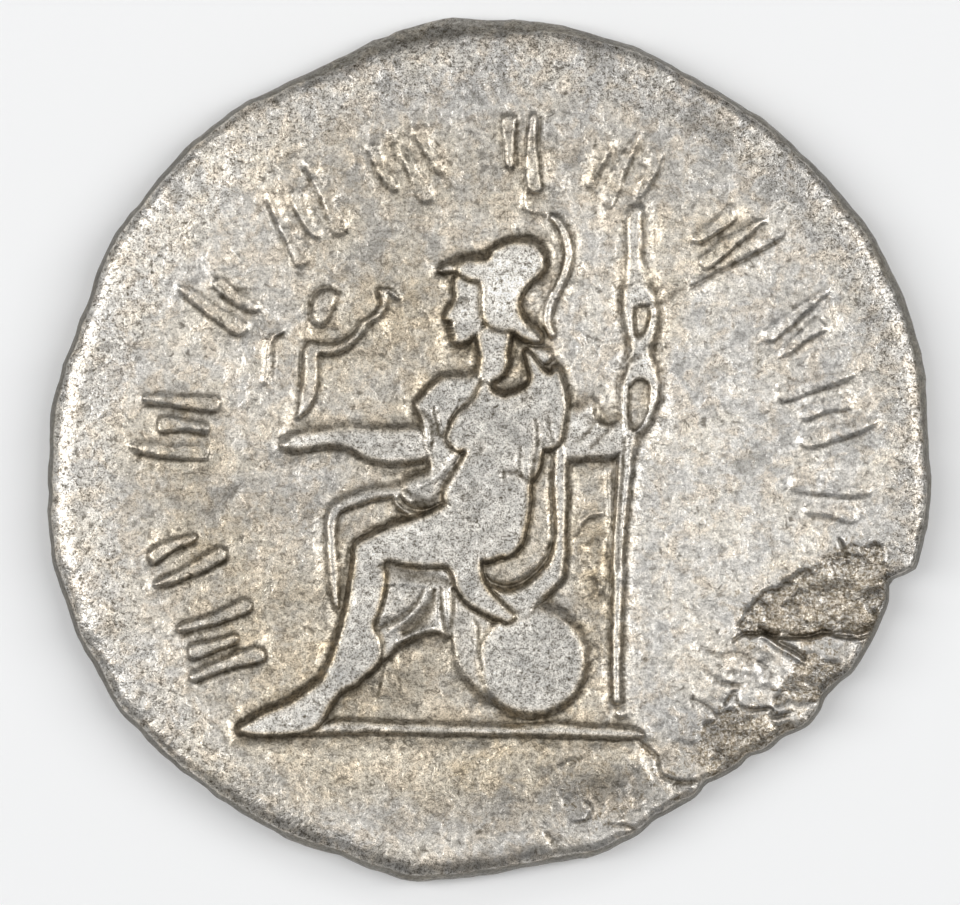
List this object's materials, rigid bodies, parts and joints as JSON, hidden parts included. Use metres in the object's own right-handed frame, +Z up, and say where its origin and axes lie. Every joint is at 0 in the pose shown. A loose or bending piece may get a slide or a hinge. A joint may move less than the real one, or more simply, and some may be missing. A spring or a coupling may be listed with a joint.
{
  "type": "ancient silver coin",
  "caption": "Worn hand-struck silver disc coin with a seated helmeted figure in relief, a radiate bust beneath, rows of plain strokes and a flaked edge.",
  "frame": {"origin": "centre of the bounding box, on the plane that the coin rests on", "axes": "+Z up through the coin's thickness to the seated-figure side, +Y to the top of that side's design, +X to its right, along the coin's greatest width"},
  "size_m": [0.023, 0.0224, 0.0016],
  "materials": {
    "silver": "worn struck silver with warm toning"
  },
  "bodies": {
    "root": {"coin": "silver"}
  },
  "joints": []
}
